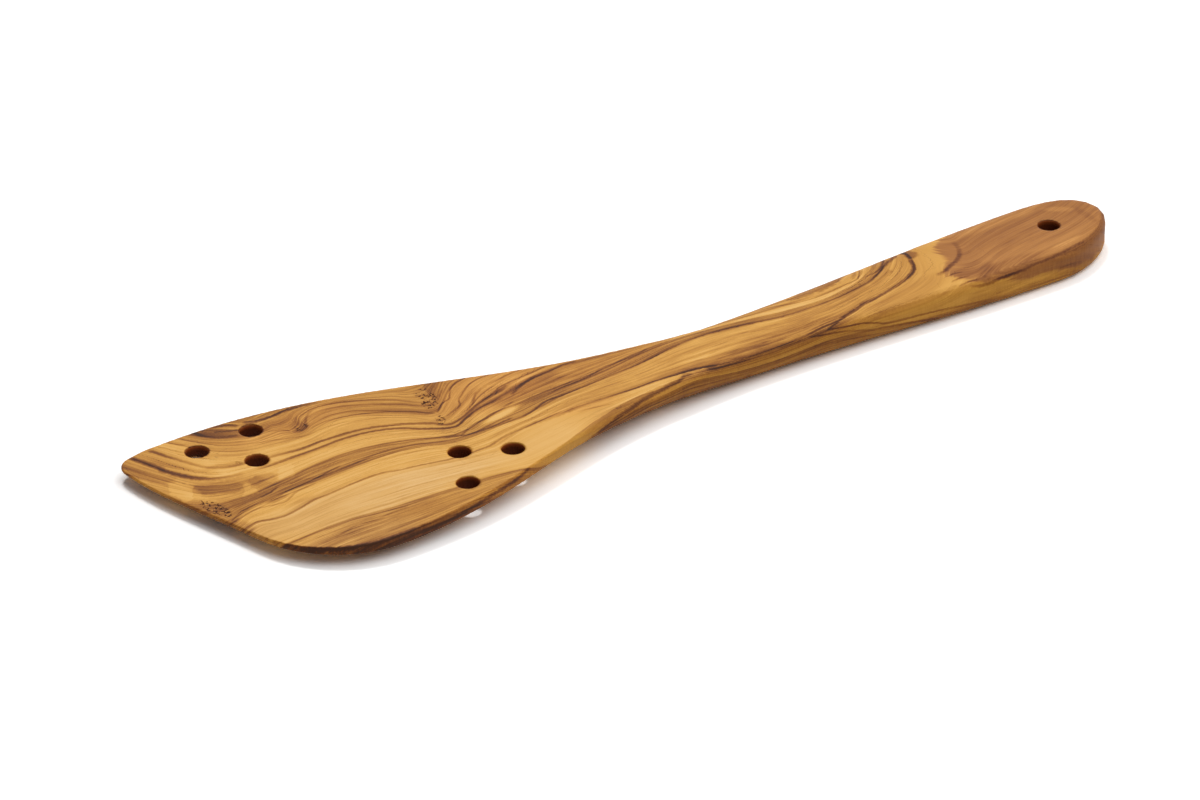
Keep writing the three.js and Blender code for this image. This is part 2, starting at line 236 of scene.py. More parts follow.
# Single lines are dark or, with a plus sign, light. Each has its widths to the right and to the left
# of the way that it runs, its change of tone at shares of its length, and its points.
STROKES = [
    (0.9, 1.0, [(0, -0.15), (0.3, -0.28), (0.7, -0.28), (1, -0.2)],
     [(13.5, -16), (16.2, -19.4), (19, -22.5), (22, -25), (25, -27), (28.5, -28.6), (34, -30.3),
      (40, -31.1), (46, -31.2)]),
    (0.9, 0.6, [(0, -0.15), (0.3, -0.26), (0.8, -0.3), (1, -0.3)],
     [(46.2, -32.8), (49.9, -33), (55.4, -32.7), (62, -31.7), (67.8, -30.6), (73.1, -29.4), (79.9, -27.8),
      (83.5, -26.4), (86, -25.2)]),
    (1.6, 1.2, [(0, -0.36), (0.3, -0.42), (0.55, -0.36), (0.75, -0.26), (1, -0.14)],
     [(5.0, 47.5), (6.4, 44.2), (7.5, 40.9), (8.3, 38.1), (8.9, 35.3), (10.3, 32), (11.7, 29.2),
      (13.6, 26.7), (15.8, 24.8), (18.3, 23.1), (21.1, 21.7), (25, 20.8)]),
    (0.8, 1.0, [(0, -0.36), (0.3, -0.28), (0.6, -0.24), (0.8, -0.26), (1, -0.26)],
     [(10.6, 47.3), (11.7, 44.8), (12.8, 41.7), (14.2, 38.7), (15.6, 35.3), (16.7, 32.6), (18.3, 29.8),
      (20.6, 27.6), (23.3, 25.9), (26.1, 25.1), (27.8, 24.7)]),
    (0.4, 0.4, [(0, -0.22), (1, -0.2)], [(16.8, 47.5), (18.4, 45), (20, 43)]),
    (0.9, 0.8, [(0, -0.3), (0.4, -0.24), (1, -0.16)],
     [(25.1, 47.2), (26, 44.3), (28.3, 41.2), (31.3, 39.3), (33.9, 38.3)]),
    (0.35, 0.4, [(0, -0.22), (0.3, -0.16), (1, -0.16)],
     [(20.2, 47.3), (21.8, 44.4), (22.9, 42.8), (26.2, 37.9), (28.8, 35.3), (31.8, 33.3), (36, 31.5),
      (40.2, 29.8), (44.3, 27.8), (48.1, 26.4)]),
    (1.0, 0.7, [(0, -0.2), (0.4, -0.36), (1, -0.3)],
     [(29.4, 46.4), (32.1, 45.5), (34.9, 44.1), (36.5, 42.3)]),
    (0.8, 0.7, [(0, -0.16), (1, -0.24)], [(29.5, 44), (31.3, 42.6), (35.3, 40.5)]),
    (1.0, 0.8, [(0, -0.3), (0.2, -0.55), (0.6, -0.55), (0.85, -0.36), (1, -0.1)],
     [(38.2, 43.4), (40.5, 41.8), (43, 41), (47.3, 40.8), (51, 41), (56, 40.2), (61, 38.6)]),
    (0.4, 0.4, [(0, -0.25), (1, -0.15)], [(40.5, 45), (44, 44.2), (48, 44), (52, 43.2)]),
    (0.3, 0.3, [(0, 0.3), (1, 0.25)], [(33.3, 46.7), (36, 44.2), (39.5, 42.2), (41.5, 41.3)]),
    (0.3, 0.3, [(0, 0.1), (0.5, 0.22), (1, 0.1)], [(42, 43.2), (46, 43.3), (50, 43.1), (54, 42.5)]),
    (0.5, 0.8, [(0, -0.2), (0.3, -0.18), (0.7, -0.12), (1, -0.05)],
     [(50.5, 30), (51.5, 31.8), (52.8, 33.7), (55, 35.6), (58.3, 36.9), (62, 36.6)]),
    (0.4, 0.4, [(0, -0.12), (1, -0.2)], [(41, 34.6), (43.3, 33.8), (45, 32.4), (46, 31)]),
    (0.6, 1.4, [(0, -0.12), (0.3, -0.22), (0.7, -0.22), (1, -0.12)],
     [(45.8, 29.9), (48, 29.2), (50, 29.7), (51.6, 30.6)]),
    (1.2, 1.2, [(0, -0.05), (0.3, -0.1), (0.6, -0.09), (0.9, -0.12), (1, -0.05)],
     [(53.1, 31.4), (57, 33.3), (60, 33.6), (63.3, 32.9), (66.6, 31.3), (70.4, 28.8), (74, 26),
      (77.5, 23.2), (80.8, 19.9)]),
    (0.4, 0.4, [(0, -0.1), (0.3, -0.22), (1, -0.25)],
     [(50.9, 28.8), (55.9, 29.1), (59.3, 28.5), (62.9, 27.3), (66.3, 25.9), (69.4, 24.1), (73.2, 21.6),
      (77.4, 18.2), (79.9, 15.3), (81.8, 13.3)]),
    (0.8, 0.8, [(0, -0.2), (0.15, -0.4), (0.6, -0.38), (0.8, -0.34), (1, -0.25)],
     [(32, 24), (39.1, 22.1), (43.9, 21.3), (49.2, 21.3), (54.2, 20.7), (59, 19.9), (63.6, 18.6),
      (67.7, 16.6), (71.7, 14.5), (75.4, 11.9), (78.2, 9.5), (79.9, 7.4), (81.5, 6.5), (83.8, 6.6),
      (87.2, 7.6), (92.1, 9.9), (97.1, 11.6), (102.3, 12.7), (106, 14)]),
    (0.8, 0.7, [(0, -0.3), (0.3, -0.34), (0.6, -0.38), (0.8, -0.42), (1, -0.3)],
     [(28, 20.2), (32.1, 19.7), (37.3, 19.5), (42.5, 19.1), (47.6, 18.8), (53, 18.8), (57.9, 18.1),
      (62.5, 17), (66.7, 15.2), (70.5, 12.7), (73.9, 9.6), (77.4, 6.8), (80.4, 4.9), (82.8, 4.5),
      (85.6, 5.9), (88.5, 7), (92.9, 8.5), (96.5, 9), (101, 9.6)]),
    (0.6, 0.6, [(0, -0.25), (0.5, -0.28), (0.7, -0.34), (0.85, -0.28), (1, -0.15)],
     [(10, -3.3), (14, -2.2), (18, -3.6), (22, -4.3), (27, -3.5), (31.6, -2.4), (35.8, -2.6),
      (40.1, -2.4), (44.5, -2.2), (49.8, -2.2), (54.6, -3.1), (57.9, -4.5), (61.6, -5.4), (66, -6.8),
      (71.4, -8.5), (76.3, -9.2), (79.9, -9.4), (83.6, -9.6), (87.7, -8.5), (93, -7.6), (101, -7),
      (110, -6.3)]),
    (1.1, 0.4, [(0, -0.08), (0.3, -0.13), (1, -0.16)],
     [(26.3, 10.6), (31.6, 10.6), (37.6, 11.6), (43.1, 12), (48.3, 11.6), (53.1, 10.9), (57.8, 9.8),
      (62.2, 8.4), (66.3, 6.4), (70.7, 4.9), (74.8, 3), (78, 1.2), (81.7, 0.2)]),
    (0.5, 0.7, [(0, -0.2), (0.3, -0.32), (1, -0.25)],
     [(76, 1.6), (78.6, 0.5), (81.9, -1.1), (85.3, -1.6), (89, -1.8), (92.4, -1.6), (97, -1.2)]),
    (0.4, 0.7, [(0, -0.2), (0.4, -0.26), (1, -0.2)],
     [(80, -0.6), (81.4, -0.1), (86.2, 2.1), (91.1, 2.8), (96.4, 4.2), (102, 5.6)]),
    (0.4, 0.9, [(0, -0.08), (0.3, -0.16), (1, -0.16)],
     [(28.1, 8.5), (35, 7.7), (40.1, 5.9), (45.5, 5.7), (50.8, 5.7), (57.5, 6.2), (63.4, 5.2),
      (67.8, 3.8), (71.8, 1.6), (76.7, -0.7)]),
    (0.5, 0.5, [(0, 0.15), (0.4, 0.4), (1, 0.25)],
     [(15.5, 25.6), (17, 24.6), (20.9, 23.1), (24.7, 22.4), (28, 21.6), (31, 21.2)]),
    (0.35, 0.35, [(0, -0.05), (0.3, -0.16), (1, -0.18)],
     [(41.1, 28.6), (45.3, 26.8), (49.2, 26.3), (53.7, 26.5), (57.7, 26), (61.2, 24.8), (67.8, 21.6),
      (72.1, 18.3), (75.5, 15.3), (78.6, 11.8)]),
    (0.4, 0.4, [(0, -0.2), (0.15, -0.28), (1, -0.22)],
     [(82, 13.4), (84.3, 15.4), (86, 16.8), (88.8, 17.7), (90.5, 19.9), (92.2, 21.9), (95, 23.6),
      (97.9, 24.2), (100.5, 24.6)]),
    (0.4, 0.5, [(0, -0.15), (0.2, -0.28), (0.7, -0.3), (1, -0.2)],
     [(82.6, 10.3), (86.5, 11.7), (89.4, 13.1), (90.5, 15.4), (93.3, 17.7), (96.7, 20.2), (100.1, 21.6),
      (104.1, 21.9), (107.4, 21.6)]),
    (0.6, 0.7, [(0, -0.1), (0.2, -0.26), (1, -0.26)],
     [(89.4, 9.7), (92.8, 12), (94.5, 14), (96.7, 15.7), (100.1, 17.1), (104.7, 18.2), (109.8, 19.1),
      (114.5, 19.4)]),
    (0.4, 0.4, [(0, -0.1), (0.2, -0.26), (1, -0.26)],
     [(91.6, 9.7), (96.7, 11.7), (101.3, 13.4), (103.5, 14.6), (109.2, 15.4), (116, 16), (120.5, 16.8)]),
    (0.3, 0.5, [(0, -0.25), (1, -0.2)], [(100.1, 11.7), (102, 13.2), (105.8, 14.4)]),
    (0.6, 0.9, [(0, -0.2), (0.3, -0.36), (0.8, -0.34), (1, -0.2)],
     [(103.5, 8.9), (106.9, 10.9), (110.3, 12.3), (114.3, 13.4), (119.4, 13.7), (124, 14.4), (129, 14)]),
    (0.4, 0.6, [(0, -0.1), (0.3, -0.24), (1, -0.2)],
     [(104.7, 2.4), (110.3, 2.9), (116, 4.1), (121.7, 4.4), (127.3, 5.2), (133, 6.6), (138.7, 6.9),
      (144.3, 7.2), (149.4, 8.6)]),
    (0.35, 0.4, [(0, -0.1), (0.4, -0.28), (1, -0.15)],
     [(139, 2.2), (145.5, 3), (150.2, 3.9), (154.2, 4.5), (158, 5)]),
    (0.5, 0.8, [(0, -0.1), (0.25, -0.3), (0.5, -0.34), (1, -0.15)],
     [(88, -2.6), (93, -2.4), (99, -2.7), (104, -1.3), (109, 0.6), (114, 0.7), (120, 1), (126, 1.3),
      (131, 1.8)]),
    (1.2, 1.1, [(0, -0.08), (0.3, -0.15), (1, -0.1)],
     [(158, 5.4), (165.5, 5.8), (170.6, 4.7), (176.3, 3.8), (180.8, 3), (185.3, 1.9), (191, 0.8),
      (198, 0.3), (206, 0.2)]),
    (0.7, 0.8, [(0, 0.1), (0.3, 0.16), (0.7, 0.2), (1, 0.16)],
     [(153.6, 7.5), (158.7, 8.7), (164.4, 8.7), (170, 7.5), (175, 6.4), (180, 6.1), (185.3, 5.3),
      (191, 4.1), (199.5, 2.7), (205, 2.4), (211, 3.3), (216.5, 4.1), (220.5, 5.8), (224.4, 8.4)]),
    (0.4, 0.5, [(0, -0.12), (0.5, -0.26), (0.9, -0.28), (1, -0.2)],
     [(186, 8), (192, 6.7), (195.5, 5.3), (199.5, 4.4), (205, 4.1), (211, 4.7), (215.4, 5.3),
      (219.3, 5.7), (222.7, 7.8), (225, 10)]),
    (0.3, 0.4, [(0, -0.3), (1, -0.3)], [(220, 5.6), (221.8, 7.5), (224.3, 10.2)]),
    (0.4, 0.7, [(0, -0.05), (0.4, -0.3), (1, -0.34)],
     [(200, 0.4), (208, 0.4), (215, 1.3), (218.7, 1.9), (222.4, 2.8), (226.2, 4.7), (229.9, 6.8),
      (233, 9), (234.8, 10.9)]),
    (0.35, 0.5, [(0, -0.1), (0.3, -0.28), (1, -0.3)],
     [(222, 5.6), (226, 6), (229, 7.2), (231.7, 9.3), (233.6, 11.2)]),
    (1.0, 0.8, [(0, -0.05), (0.4, -0.2), (0.8, -0.36), (1, -0.4)],
     [(220.5, 2.4), (224, 3.9), (227.9, 5.9), (231.6, 8), (234.9, 9.8), (238.3, 11.4)]),
    (1.3, 1.0, [(0, -0.05), (0.5, -0.14), (1, -0.2)],
     [(221.3, 1), (224.9, 2.3), (227.9, 3.4), (231.1, 4.8)]),
    (0.8, 0.9, [(0, -0.1), (0.5, -0.18), (1, -0.2)], [(219, 6.8), (220.6, 8.2), (222.5, 10.2)]),
    (0.5, 1.3, [(0, -0.5), (0.2, -0.55), (0.45, -0.42), (0.7, -0.45), (0.9, -0.55), (1, -0.5)],
     [(202, -9.9), (205.7, -8.9), (209.1, -8.1), (212.5, -6.9), (215.9, -6.4), (220, -5.6), (224.9, -4.3),
      (229.9, -2.8), (233.6, -1.2), (236.7, 0.95), (238.2, 3.1), (239.2, 5.3), (239.9, 7.5)]),
    (0.6, 1.1, [(0, -0.5), (1, -0.5)], [(239.6, 6.6), (240.4, 9), (240.8, 11.8)]),
    (0.6, 0.6, [(0, -0.1), (0.4, -0.26), (1, -0.38)],
     [(189.9, -11.2), (193.8, -10.3), (199.5, -10), (203, -9.7)]),
    (0.5, 0.5, [(0, -0.35), (1, -0.35)], [(196.7, -12), (199, -11), (201.5, -10.4)]),
    (0.45, 0.45, [(0, -0.35), (0.2, -0.32), (0.5, -0.26), (0.8, -0.24), (1, -0.1)],
     [(196.7, -12), (200.7, -12.6), (204.4, -13.3), (208.7, -14.1), (213, -15.6), (217.3, -16.9),
      (230.4, -18.3), (244, -20.2), (252.6, -21.3)]),
    (0.4, 0.4, [(0, -0.1), (0.3, -0.26), (1, -0.2)],
     [(205, -16.2), (217, -17.9), (233.5, -20.7), (241, -22.5)]),
    (0.4, 0.5, [(0, -0.3), (0.5, -0.24), (1, -0.1)],
     [(190.4, -12), (193.5, -12.8), (197.8, -13.6), (201, -14.3), (206, -15.6), (212, -17.2)]),
    (0.7, 0.8, [(0, -0.2), (0.3, -0.34), (0.8, -0.36), (1, -0.42)],
     [(113, -19.9), (115.2, -18.9), (119.2, -17), (122.9, -15.5), (127.3, -14.3), (130.7, -13.3),
      (134.2, -12.5), (138.7, -11.8), (142.8, -11.3), (145.8, -11), (148.1, -10.2)]),
    (0.5, 0.5, [(0, -0.12), (0.3, -0.2), (0.5, -0.4), (0.9, -0.4), (1, -0.3)],
     [(108.4, -7.2), (114.2, -6.8), (119, -7), (123, -7.4), (128.6, -7.7), (133.5, -7.8), (138.6, -7.7),
      (143, -7.9), (147, -8.3), (151.5, -8.5), (156.6, -9.2)]),
    (0.8, 0.6, [(0, -0.2), (0.5, -0.16), (1, -0.16)],
     [(157, -11.2), (165, -11.5), (172, -11.6), (180, -11.7), (189, -12)]),
    (0.4, 0.6, [(0, -0.1), (0.5, -0.25), (0.8, -0.42), (1, -0.2)],
     [(12.8, 7.6), (17.2, 7.8), (21.7, 7.8), (25, 8.1), (28.3, 9.2)]),
    (0.3, 0.4, [(0, -0.2), (1, -0.12)], [(31, 8.2), (36, 8.6), (42, 8.4)]),
    (0.4, 0.5, [(0, -0.2), (0.5, -0.26), (1, -0.26)],
     [(13.3, 4.8), (18.3, 5.3), (23.9, 5.1), (30.6, 5.9), (37.2, 6.2), (42.8, 7), (47.2, 7.6)]),
    (0.3, 0.3, [(0, -0.26), (1, -0.2)], [(8.9, 2.6), (11.7, 3.7), (16.1, 4.5), (20.6, 4.8)]),
    (0.3, 0.8, [(0, -0.3), (0.4, -0.2), (0.7, -0.24), (1, -0.15)],
     [(8.5, 1.2), (13.3, 2.6), (18.3, 3.1), (22.8, 1.9), (26.1, 1.7), (30.6, 3.7), (37.2, 4.2)]),
    (0.6, 0.6, [(0, -0.1), (0.5, -0.14), (1, -0.1)],
     [(21, -21.9), (28, -21.3), (34, -20.2), (39.5, -21.3), (45, -20.8), (50, -21)]),
    (1.0, 0.6, [(0, -0.15), (0.3, -0.36), (0.7, -0.36), (1, -0.15)],
     [(244.8, -14.5), (248.5, -15.8), (252, -16.1), (256, -15.8), (261, -15.8), (266, -15.8)]),
    (0.8, 0.8, [(0, -0.15), (1, -0.12)], [(265, -15.5), (277, -14.8), (283, -13.6), (288, -13)]),
    (1.2, 0.8, [(0, -0.15), (0.12, -0.36), (0.4, -0.28), (0.7, -0.18), (1, -0.08)],
     [(239.3, -5.2), (242.5, -4.6), (247, -2.6), (250, -1.2), (253, 1.5), (255, 5), (255.5, 8)]),
    (0.6, 0.5, [(0, -0.15), (0.5, -0.26), (1, -0.1)], [(240.6, -10.6), (243.5, -10.2), (247, -10.7)]),
    (0.6, 0.5, [(0, -0.15), (0.5, -0.26), (1, -0.1)], [(241.8, -13.4), (245, -13), (249, -13.3)]),
    (0.5, 0.5, [(0, -0.1), (0.5, -0.18), (1, -0.1)], [(241.2, -7.6), (244, -7.4), (247, -7.9)]),
    (1.4, 0.7, [(0, -0.08), (0.15, -0.2), (0.4, -0.24), (0.7, -0.18), (1, -0.06)],
     [(96, -7.2), (101, -7.3), (106, -7.2), (111, -7.1), (116, -7.2), (120.5, -7.6), (125, -8.3),
      (131, -9.2)]),
    (0.4, 0.6, [(0, -0.06), (0.4, -0.2), (0.7, -0.16), (1, -0.06)],
     [(112.5, -9.2), (116, -9.6), (119.5, -10.3), (123.5, -11.2)]),
]

# Knots with pits and cracks: along, across, half length, half width, turn in degrees, strength
KNOTS = [
    (9.2, 10.7, 6, 2.2, -80, 1.0),
    (84.0, 20.0, 4.4, 2.4, 60, 1.0),
    (84.7, 25.3, 3.0, 2.0, 20, 0.5),
    (80.8, 9.8, 2.6, 1.2, 60, 0.8),
    (49.6, 31.2, 3.0, 2.2, 40, 0.4),
]

# Where the dark heart in the grip begins on the top face, as across and along
HEART_BEGINS = [(-17, 258), (-14, 250), (-12, 245.5), (-7, 242.5), (-3, 243.5), (0, 247), (4, 248),
                (8, 249), (11, 253), (16, 264)]

# How deep the heart reaches down the side, as along and depth
HEART_DEPTH = [(240, 0.0), (252, 1.5), (265, 3.5), (277, 5.2), (285, 6.0), (292, 6.4), (299, 6.6),
               (305, 5.4)]

# Darker sides, as along and change of tone: partly painted shade on the walls and partly darker wood at the
# near corner of the blade
SIDE_SHADE_AND_TONES = [(0, -0.14), (10, -0.16), (15, -0.46), (28, -0.46), (44, -0.34), (56, -0.2), (72, -0.16),
              (92, -0.16), (120, -0.2), (145, -0.2), (165, -0.14), (220, -0.14), (250, -0.16),
              (270, -0.18), (285, -0.24), (300, -0.16)]

# Where the facet along the near edge of the neck begins on the top face, as along and across
FACET = [(94, -23.5), (102, -20.1), (107.4, -18.0), (113, -16.1), (118, -14.6), (123, -13.1),
         (127, -12.2), (134, -11.2), (138, -10.7), (143, -10.5), (150, -10.8), (160, -12.0)]

# How steep and wide the facet is, how deep it reaches, and where it and the painted shade on it come and go
FACET_SLOPE = 0.6
FACET_WIDTH = 2.5
FACET_DEPTH = 4
FACET_COMES = (98, 108)
FACET_GOES = (140, 156)
FACET_SHADE_COMES = (96, 104)
FACET_SHADE_GOES = (138, 158)

# The fine mesh: lengths above which edges are split in turn, and how often and how far points are eased
SPLIT_ABOVE = (12, 6, 3, 1.7, 1.25)
EASING_ROUNDS = 14
MOST_EASED = 0.12

# Strokes: how far apart those of a group lie, how far they are felt, and the share in which they taper
STROKES_APART = 3.2
STROKE_REACH = 4
STROKE_TAPER = 0.04

# Distance of points that no stroke is near, also in widths of it
FAR_AWAY = 99.0
MOST_WIDTHS = 9.0


def faired(points, along):
    """Smooth curve through points that never swings past them, carried straight on beyond its ends."""
    at, value = np.array(points, float).T
    rise = np.diff(value) / np.diff(at)
    before = np.r_[rise[0], rise]
    after = np.r_[rise, rise[-1]]
    same_way = before * after > 0
    slope = np.where(same_way, 2 * before * after / np.where(same_way, before + after, 1), 0)
    i = np.clip(np.searchsorted(at, along) - 1, 0, len(rise) - 1)
    span = at[i + 1] - at[i]
    t = np.clip((along - at[i]) / span, 0, 1)
    bend = t * (1 - t) * ((1 - t) * slope[i] - t * slope[i + 1])
    curve = value[i] + (value[i + 1] - value[i]) * t * t * (3 - 2 * t) + span * bend
    over = np.where(along < at[0], along - at[0], np.where(along > at[-1], along - at[-1], 0))
    return curve + over * np.where(over < 0, rise[0], rise[-1])


def levels(points, at):
    """Straight runs between points, level beyond their ends."""
    places, values = np.array(points, float).T
    return np.interp(at, places, values)


def soft_step(value, low, high):
    """0 below low, 1 above high, and a smooth step between them."""
    t = np.clip((value - low) / (high - low), 0, 1)
    return t * t * (3 - 2 * t)


def stretch(along, comes, goes):
    """Rises smoothly from 0 to 1 over one stretch of the board and falls back to 0 over another."""
    return soft_step(along, *comes) * (1 - soft_step(along, *goes))


def across_the_grain(along, across):
    """Place of each point among the grain lines."""
    least_spacing = 0.2
    places = np.array([line[0] for line in GRAIN_LINES])
    lines = np.array([faired(line[1], along) for line in GRAIN_LINES])
    i = np.clip((across[None] < lines).sum(0) - 1, 0, len(places) - 2)
    column = np.arange(len(along))
    upper = lines[i, column]
    lower = lines[i + 1, column]
    share = (upper - across) / np.maximum(upper - lower, least_spacing)
    return places[i] + (places[i + 1] - places[i]) * share


def between(places, values, at):
    """Values along the board given at a few places across it, read at each point's place across it."""
    places = np.array(places, float)
    i = np.clip(np.searchsorted(places, at) - 1, 0, len(places) - 2)
    t = np.clip((at - places[i]) / (places[i + 1] - places[i]), 0, 1)
    column = np.arange(len(at))
    return values[i, column] * (1 - t) + values[i + 1, column] * t


def ellipses(shapes, along, across):
    """Sum of ellipses that fade from about half their size to a little beyond it."""
    total = np.zeros(len(along))
    for at, aside, length, width, turn, amount in shapes:
        cos = math.cos(math.radians(turn))
        sin = math.sin(math.radians(turn))
        x = along - at
        y = across - aside
        reach = np.hypot((x * cos + y * sin) / length, (y * cos - x * sin) / width)
        total += amount * (1 - soft_step(reach, 0.55, 1.25))
    return total


def within(corners, along, across):
    """Distance inside the edges of a shape without hollows, less than zero outside it."""
    ends = np.array(corners)
    starts = np.roll(ends, 1, axis=0)
    run = (ends - starts) / np.linalg.norm(ends - starts, axis=1, keepdims=True)
    aside = [(along - x) * b - (across - y) * a for (x, y), (a, b) in zip(starts, run)]
    return np.min(aside, axis=0)


def drawn_through(points):
    """Short steps along a smooth curve through points."""
    points = np.array(points, float)
    points = np.vstack([2 * points[0] - points[1], points, 2 * points[-1] - points[-2]])
    t = np.arange(0, 1, 0.2)[:, None]
    runs = []
    for a, b, c, d in zip(points, points[1:], points[2:], points[3:]):
        runs.append(b + 0.5 * t * (c - a + t * (2 * a - 5 * b + 4 * c - d + t * (3 * (b - c) + d - a))))
    return np.vstack(runs + [points[-2:-1]])


def far_apart(curves, distance):
    """Numbers of the curves, dealt into groups in which no two curves come near each other."""
    groups = []
    for number, curve in enumerate(curves):
        for group in groups:
            others = np.vstack([curves[other] for other in group])
            if np.linalg.norm(curve[:, None] - others[None], axis=2).min() > distance:
                group.append(number)
                break
        else:
            groups.append([number])
    return groups


def beside(curve, right, left, changes, along, across):
    """Distance to a curve, the same in widths of the line and with a side, and the line's change of tone."""
    distance = np.full(len(along), FAR_AWAY)
    aside = np.full(len(along), MOST_WIDTHS)
    share = np.zeros(len(along))
    runs = np.diff(curve, axis=0)
    lengths = np.linalg.norm(runs, axis=1)
    begins = np.r_[0, np.cumsum(lengths)]
    for (x, y), (dx, dy), length, begin in zip(curve, runs / lengths[:, None], lengths, begins):
        t = np.clip((along - x) * dx + (across - y) * dy, 0, length)
        off = np.hypot(along - x - t * dx, across - y - t * dy)
        on_the_left = (across - y) * dx > (along - x) * dy
        closer = off < distance
        distance = np.where(closer, off, distance)
        aside = np.where(closer, np.where(on_the_left, off / left, -off / right), aside)
        share = np.where(closer, (begin + t) / begins[-1], share)
    tones = [(STROKE_TAPER + (1 - 2 * STROKE_TAPER) * at, change) for at, change in changes]
    return distance, np.clip(aside, -MOST_WIDTHS, MOST_WIDTHS), levels([(0, 0)] + tones + [(1, 0)], share)


def nearest_stroke(strokes, along, across):
    """Distance of points to the nearest stroke, in widths of it, and that stroke's change of tone."""
    distance = np.full(len(along), FAR_AWAY)
    aside = np.full(len(along), MOST_WIDTHS)
    change = np.zeros(len(along))
    for right, left, changes, places in strokes:
        curve = drawn_through(places)
        low = curve.min(axis=0) - STROKE_REACH
        high = curve.max(axis=0) + STROKE_REACH
        around = (along > low[0]) & (along < high[0]) & (across > low[1]) & (across < high[1])
        around = np.flatnonzero(around)
        found = beside(curve, right, left, changes, along[around], across[around])
        closer = found[0] < distance[around]
        for values, found_values in zip((distance, aside, change), found):
            values[around[closer]] = found_values[closer]
    return aside, change


def refined(node, name, lengths):
    """A copy of a CAD node's mesh whose edges are split where they are longer than each length in turn."""
    mesh = node.data.copy()
    mesh.name = name
    bm = bmesh.new()
    bm.from_mesh(mesh)
    bmesh.ops.remove_doubles(bm, verts=bm.verts, dist=0.001 * MM)
    for length in lengths:
        long_edges = [edge for edge in bm.edges if edge.calc_length() > length * MM]
        bmesh.ops.subdivide_edges(bm, edges=long_edges, cuts=1)
        uneven = [face for face in bm.faces if len(face.verts) > 3]
        bmesh.ops.triangulate(bm, faces=uneven, quad_method="SHORT_EDGE", ngon_method="BEAUTY")
    bm.to_mesh(mesh)
    bm.free()
    return mesh


def eased(mesh, points, rounds, most):
    """Points of a mesh drawn towards their neighbours, each by at most a small distance."""
    ends = np.empty(len(mesh.edges) * 2, int)
    mesh.edges.foreach_get("vertices", ends)
    one, other = ends.reshape(-1, 2).T
    count = np.bincount(ends, minlength=len(points))[:, None]
    pull = 0.6
    moved = points.copy()
    for _ in range(rounds):
        total = np.stack([np.bincount(one, moved[other, k], len(points))
                          + np.bincount(other, moved[one, k], len(points)) for k in range(3)], 1)
        moved += pull * (total / count - moved)
    shift = moved - points
    length = np.linalg.norm(shift, axis=1, keepdims=True)
    return points + shift * np.minimum(1, most / np.maximum(length, 1e-9))


# The turner, a finer and eased copy of the CAD mesh
mesh = refined(frame["nodes"]["spatula"], "turner", SPLIT_ABOVE)
turner = bpy.data.objects.new("turner", mesh)
bpy.context.collection.objects.link(turner)
points = np.empty(len(mesh.vertices) * 3)
mesh.vertices.foreach_get("co", points)
points = eased(mesh, points.reshape(-1, 3) / MM, EASING_ROUNDS, MOST_EASED)
along = points[:, 0] - TIP_X
across = points[:, 1] - CENTRE_LINE_Y

# Depth below the top face, counted from just under the highest point at stations along the board
STATION_STEP = 3
JUST_UNDER = 0.15
stations = np.arange(0, LENGTH + 1, STATION_STEP)
station = np.clip(np.round(along / STATION_STEP).astype(int), 0, len(stations) - 1)
highest = np.full(len(stations), -1.0)
np.maximum.at(highest, station, points[:, 2])
depth = np.maximum(np.interp(along, stations, highest) - points[:, 2] - JUST_UNDER, 0)

# The facet, cut into the top of the near edge
past_crease = levels(FACET, along) - across
cut_down = FACET_SLOPE * np.clip(past_crease, 0, FACET_WIDTH) * stretch(along, FACET_COMES, FACET_GOES)
points[:, 2] -= cut_down * np.clip(1 - depth / FACET_DEPTH, 0, 1)
mesh.vertices.foreach_set("co", (points * MM).ravel())
mesh.update()

# The grain runs on down the near side. In the grip the fibres slant and sway.
GRAIN_LEAN = 0.9
GRIP_AT = 250
GRIP_PLACE = 44
GRIP_SLANT = 0.3
GRIP_SWAY = 1.5
GRIP_SWAY_LENGTH = 9
GRIP_COMES = (243, 258)
GRIP_FADES = (0.3, 1.5)
inside = across - GRAIN_LEAN * depth
grain = across_the_grain(along, inside)
swaying = GRIP_SWAY * np.sin((along - GRIP_AT) / GRIP_SWAY_LENGTH)
slanted = GRIP_PLACE - inside + GRIP_SLANT * (along - GRIP_AT) + swaying
in_grip = soft_step(along, *GRIP_COMES) * (1 - soft_step(depth, *GRIP_FADES))

# Strength of the grain lines and tone of the bands, read across the grain
FIRST_BAND = -4
LAST_BAND = 76
line_places = [line[0] for line in GRAIN_LINES]
line_strength = between(line_places, np.array([levels(line[2], along) for line in GRAIN_LINES]), grain)
band_middles = [(a + b) / 2 for a, b in zip(line_places, line_places[1:])]
band_middles = [FIRST_BAND] + band_middles + [LAST_BAND]
band_change = between(band_middles, np.array([levels(band[1], along) for band in BANDS]), grain)

# How far points lie within the heart, and whether they lie at a hole
HEART_SPREAD = 0.6
HOLE_RIM = 0.6
past_heart_edge = along - levels(HEART_BEGINS, across)
above_heart_edge = levels(HEART_DEPTH, along) - depth + HEART_SPREAD
near_hole = np.zeros(len(points))
for x, y, _ in OPENINGS.values():
    near_hole = np.maximum(near_hole, np.hypot(points[:, 0] - x, points[:, 1] - y) < HOLE_RADIUS + HOLE_RIM)

